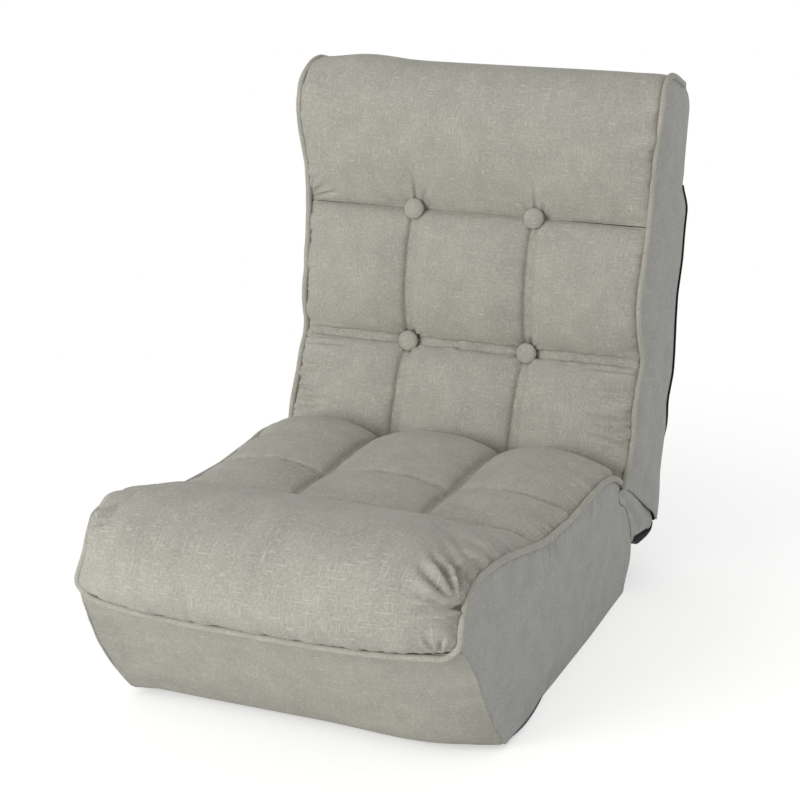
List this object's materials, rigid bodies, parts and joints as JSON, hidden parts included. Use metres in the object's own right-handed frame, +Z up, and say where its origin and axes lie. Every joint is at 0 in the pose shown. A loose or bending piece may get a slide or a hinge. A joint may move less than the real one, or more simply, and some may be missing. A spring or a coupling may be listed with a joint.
{
  "type": "floor chair",
  "caption": "Legless padded floor chair with a tufted reclining back, a tilting head section and ratchet hinges inside the padding",
  "frame": {"origin": "centre of the bounding box at floor level", "axes": "+Z up, the chair faces -Y, +X is to the right of someone who looks at its front"},
  "size_m": [0.56, 0.9762, 0.8012],
  "materials": {
    "linen": "linen weave, warm grey",
    "linen_side": "linen weave, warm grey",
    "piping": "linen weave over a cord",
    "black_cloth": "thin black cloth",
    "foam": "open foam",
    "painted_steel": "satin black paint",
    "zinc_steel": "zinc plated",
    "woven_sling": "woven strap cloth"
  },
  "bodies": {
    "seat": {"hinge_pin_left": "zinc_steel", "hinge_pin_right": "zinc_steel", "ratchet_plate_left": "zinc_steel", "ratchet_plate_right": "zinc_steel", "seat_bottom_cover": "black_cloth", "seat_foam_base": "foam", "seat_foam_top": "foam", "seat_frame": "painted_steel", "seat_front_panel": "linen", "seat_piping": "piping", "seat_quilt": "linen", "seat_rear_panel": "linen_side", "seat_side_panel_left": "linen_side", "seat_side_panel_right": "linen_side", "seat_sling": "woven_sling"},
    "back": {"back_foam_front": "foam", "back_foam_rear": "foam", "back_frame": "painted_steel", "back_piping_left": "piping", "back_piping_right": "piping", "back_quilt": "linen", "back_rear_cover": "black_cloth", "back_side_panel_left": "linen_side", "back_side_panel_right": "linen_side", "back_sling": "woven_sling", "button_lower_left": "linen", "button_lower_right": "linen", "button_upper_left": "linen", "button_upper_right": "linen", "crease_panel": "linen", "head_pin_left": "zinc_steel", "head_pin_right": "zinc_steel", "head_ratchet_left": "zinc_steel", "head_ratchet_right": "zinc_steel", "hinge_gusset_left": "linen", "hinge_gusset_right": "linen", "hinge_yoke_left": "zinc_steel", "hinge_yoke_right": "zinc_steel", "pawl_spring_left": "painted_steel", "pawl_spring_right": "painted_steel", "underside_cover": "black_cloth"},
    "head": {"head_foam_front": "foam", "head_foam_rear": "foam", "head_frame": "painted_steel", "head_pawl_spring_left": "painted_steel", "head_pawl_spring_right": "painted_steel", "head_piping_left": "piping", "head_piping_right": "piping", "head_quilt": "linen", "head_rear_panel": "linen_side", "head_side_panel_left": "linen_side", "head_side_panel_right": "linen_side", "head_yoke_left": "zinc_steel", "head_yoke_right": "zinc_steel"},
    "head_pawl_left": {"head_pawl_left": "zinc_steel"},
    "head_pawl_right": {"head_pawl_right": "zinc_steel"},
    "pawl_left": {"pawl_left": "zinc_steel"},
    "pawl_right": {"pawl_right": "zinc_steel"}
  },
  "joints": [
    {"name": "back_recline", "type": "hinge", "parent": "seat", "child": "back", "pos_m": [0, 0.29106, 0.11], "axis": [1, 0, 0], "range_deg": [-80, 10], "deforming": ["hinge_gusset_left", "hinge_gusset_right", "crease_panel", "underside_cover"]},
    {"name": "head_tilt", "type": "hinge", "parent": "back", "child": "head", "pos_m": [0, 0.35744, 0.57859], "axis": [1, 0, 0], "range_deg": [0, 30], "deforming": ["button_upper_left", "button_upper_right"]},
    {"name": "pawl_left_lift", "type": "hinge", "parent": "back", "child": "pawl_left", "pos_m": [-0.199, 0.32249, 0.13846], "axis": [1, 0, 0], "range_deg": [-8, 0], "stiffness_Nm_per_rad": 0.004, "springref_deg": 11.46, "deforming": ["pawl_spring_left"]},
    {"name": "pawl_right_lift", "type": "hinge", "parent": "back", "child": "pawl_right", "pos_m": [0.199, 0.32249, 0.13846], "axis": [1, 0, 0], "range_deg": [-8, 0], "stiffness_Nm_per_rad": 0.004, "springref_deg": 11.46, "deforming": ["pawl_spring_right"]},
    {"name": "head_pawl_left_lift", "type": "hinge", "parent": "head", "child": "head_pawl_left", "pos_m": [-0.202, 0.37778, 0.59701], "axis": [1, 0, 0], "range_deg": [-8, 0], "stiffness_Nm_per_rad": 0.004, "springref_deg": 11.46, "deforming": ["head_pawl_spring_left"]},
    {"name": "head_pawl_right_lift", "type": "hinge", "parent": "head", "child": "head_pawl_right", "pos_m": [0.202, 0.37778, 0.59701], "axis": [1, 0, 0], "range_deg": [-8, 0], "stiffness_Nm_per_rad": 0.004, "springref_deg": 11.46, "deforming": ["head_pawl_spring_right"]}
  ]
}
